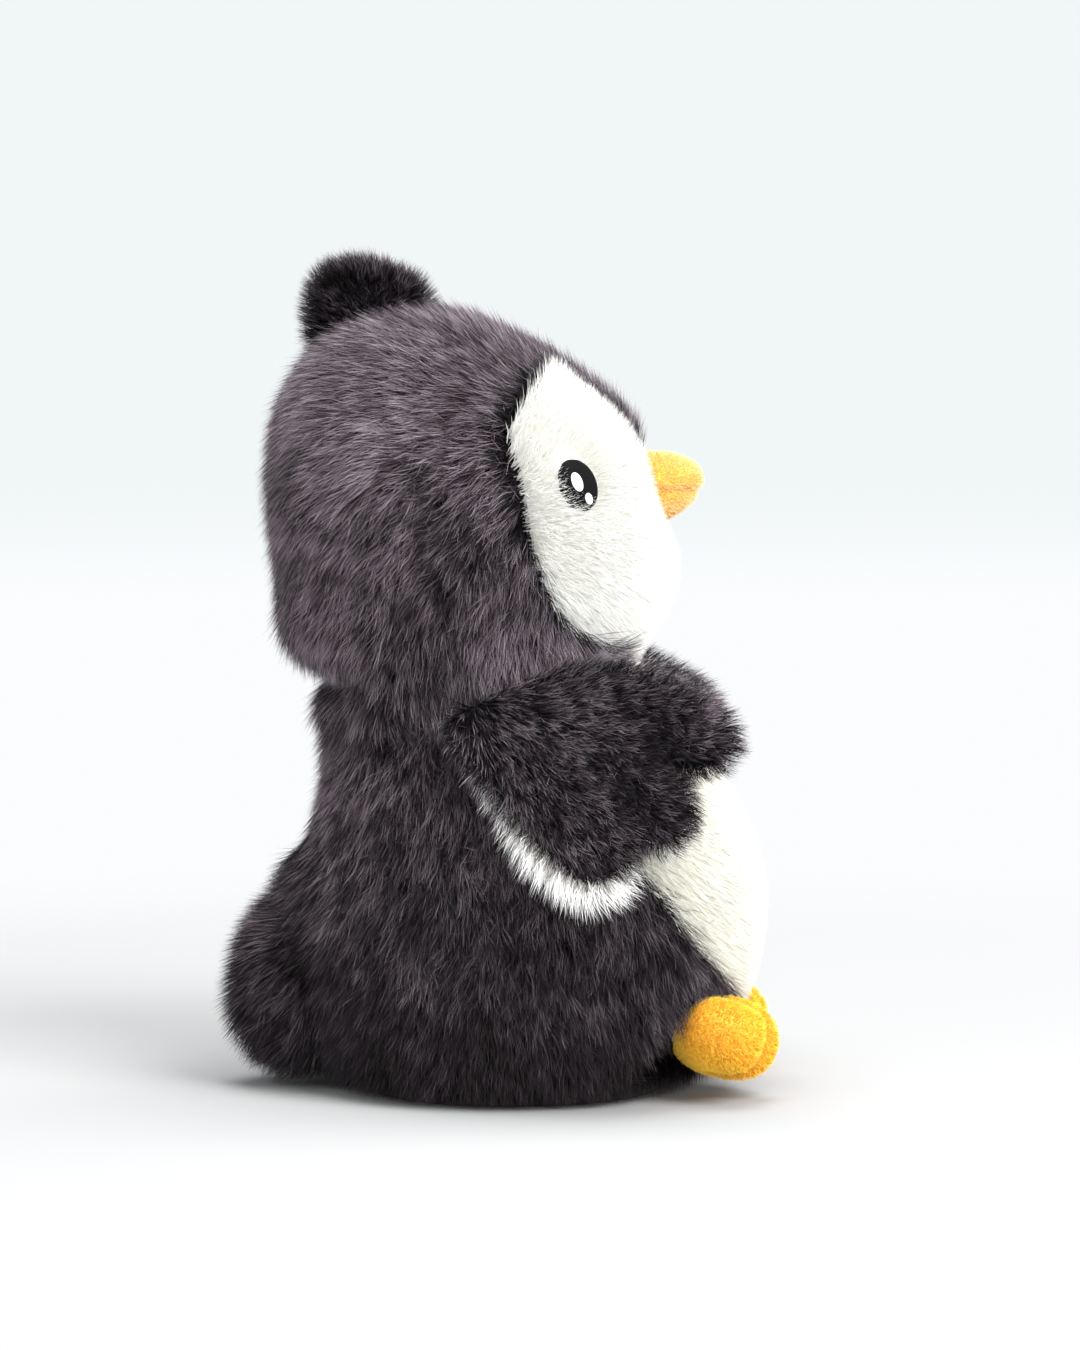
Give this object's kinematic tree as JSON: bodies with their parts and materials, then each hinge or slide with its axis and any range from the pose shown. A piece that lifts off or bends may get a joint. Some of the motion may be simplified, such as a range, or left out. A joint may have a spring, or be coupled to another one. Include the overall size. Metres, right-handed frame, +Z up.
{
  "type": "plush penguin",
  "caption": "Seated long-pile plush penguin with a turning head, lifting wings, flexing feet and tail, a crest and a flat bean-bag base.",
  "frame": {"origin": "centre of the flat base that it sits on, at floor level", "axes": "+Z up; the penguin faces -Y; +X is its own left"},
  "size_m": [0.123, 0.1172, 0.1756],
  "materials": {
    "dark_fur": "long combed pile, 9 mm",
    "cream_fur": "medium pile, 5 mm",
    "beak_velour": "short velour pile",
    "foot_velour": "short velour pile",
    "black_thread": "satin-stitch embroidery",
    "white_thread": "satin-stitch embroidery",
    "stuffing": "polyester fibre",
    "pouch_cloth": "plain woven cloth",
    "pellets": "small plastic pellets"
  },
  "bodies": {
    "torso": {"body_back_panel_left": "dark_fur", "body_back_panel_right": "dark_fur", "belly_panel": "cream_fur", "base_panel": "dark_fur", "body_stuffing": "stuffing", "pellet_pouch": "pouch_cloth", "pellet_fill": "pellets"},
    "head": {"head_gusset": "dark_fur", "head_side_panel_left": "dark_fur", "head_side_panel_right": "dark_fur", "face_panel_left": "cream_fur", "face_panel_right": "cream_fur", "head_stuffing": "stuffing", "beak_upper_panel": "beak_velour", "beak_lower_panel": "beak_velour", "beak_stuffing": "stuffing", "eye_left": "black_thread", "eye_right": "black_thread", "eye_glints_left": "white_thread", "eye_glints_right": "white_thread", "crest_left_panel": "dark_fur", "crest_right_panel": "dark_fur", "crest_stuffing": "stuffing"},
    "tail": {"tail_top_panel": "dark_fur", "tail_under_panel": "dark_fur", "tail_stuffing": "stuffing"},
    "wing_left": {"wing_left_outer_panel": "dark_fur", "wing_left_inner_panel": "cream_fur", "wing_left_stuffing": "stuffing"},
    "foot_left": {"foot_left_top_panel": "foot_velour", "foot_left_sole_panel": "foot_velour", "foot_left_stuffing": "stuffing"},
    "wing_right": {"wing_right_outer_panel": "dark_fur", "wing_right_inner_panel": "cream_fur", "wing_right_stuffing": "stuffing"},
    "foot_right": {"foot_right_top_panel": "foot_velour", "foot_right_sole_panel": "foot_velour", "foot_right_stuffing": "stuffing"}
  },
  "joints": [
    {"name": "head_turn", "type": "hinge", "parent": "torso", "child": "head", "pos_m": [0, 0.0095, 0.08611], "axis": [0, 0.2149, 0.9766], "range_deg": [-25, 25], "stiffness_Nm_per_rad": 0.12},
    {"name": "wing_left_lift", "type": "hinge", "parent": "torso", "child": "wing_left", "pos_m": [0.0434, 0.012, 0.08], "axis": [-0.0572, -0.9235, 0.3793], "range_deg": [0, 60], "stiffness_Nm_per_rad": 0.02},
    {"name": "wing_right_lift", "type": "hinge", "parent": "torso", "child": "wing_right", "pos_m": [-0.0434, 0.012, 0.08], "axis": [-0.0572, 0.9235, -0.3793], "range_deg": [0, 60], "stiffness_Nm_per_rad": 0.02},
    {"name": "foot_left_flex", "type": "hinge", "parent": "torso", "child": "foot_left", "pos_m": [0.022, -0.033, 0.015], "axis": [-0.9806, 0, -0.1961], "range_deg": [-5, 18], "stiffness_Nm_per_rad": 0.06},
    {"name": "foot_right_flex", "type": "hinge", "parent": "torso", "child": "foot_right", "pos_m": [-0.022, -0.033, 0.015], "axis": [-0.9806, 0, 0.1961], "range_deg": [-5, 18], "stiffness_Nm_per_rad": 0.06},
    {"name": "tail_flex", "type": "hinge", "parent": "torso", "child": "tail", "pos_m": [0, 0.0446, 0.0244], "axis": [1, 0, 0], "range_deg": [0, 15], "stiffness_Nm_per_rad": 0.06}
  ]
}
